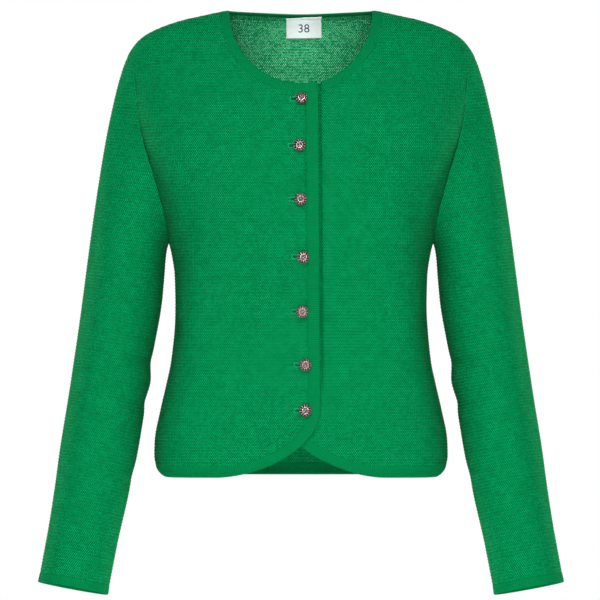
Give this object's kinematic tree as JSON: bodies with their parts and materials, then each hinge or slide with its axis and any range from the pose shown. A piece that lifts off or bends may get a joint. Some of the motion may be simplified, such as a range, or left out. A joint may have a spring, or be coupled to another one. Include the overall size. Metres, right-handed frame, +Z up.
{
  "type": "trachten cardigan",
  "caption": "Short knitted trachten cardigan with a round neck, narrow edging bands, rounded front corners, long set-in sleeves and domed metal buttons, filled out as if worn.",
  "frame": {"origin": "middle of the neck opening, level with the points where the shoulder seams meet the neckline", "axes": "+Z up, -Y towards the front, +X towards the wearer's left"},
  "size_m": [0.576, 0.2395, 0.6424],
  "materials": {
    "knit": "ridged purl knit, matt",
    "edging": "fine doubled rib knit, matt",
    "label": "woven satin label",
    "button": "antique silver plating, worn bright on the high points"
  },
  "bodies": {
    "root": {"back": "knit", "front_right": "knit", "front_left": "knit", "upper_sleeve_right": "knit", "lower_sleeve_right": "knit", "upper_sleeve_left": "knit", "lower_sleeve_left": "knit", "cuff_right": "edging", "cuff_left": "edging", "neck_band": "edging", "front_band_right": "edging", "front_band_left": "edging", "back_hem_band": "edging", "label": "label", "button_1": "button", "button_2": "button", "button_3": "button", "button_4": "button", "button_5": "button", "button_6": "button", "button_7": "button"}
  },
  "joints": []
}
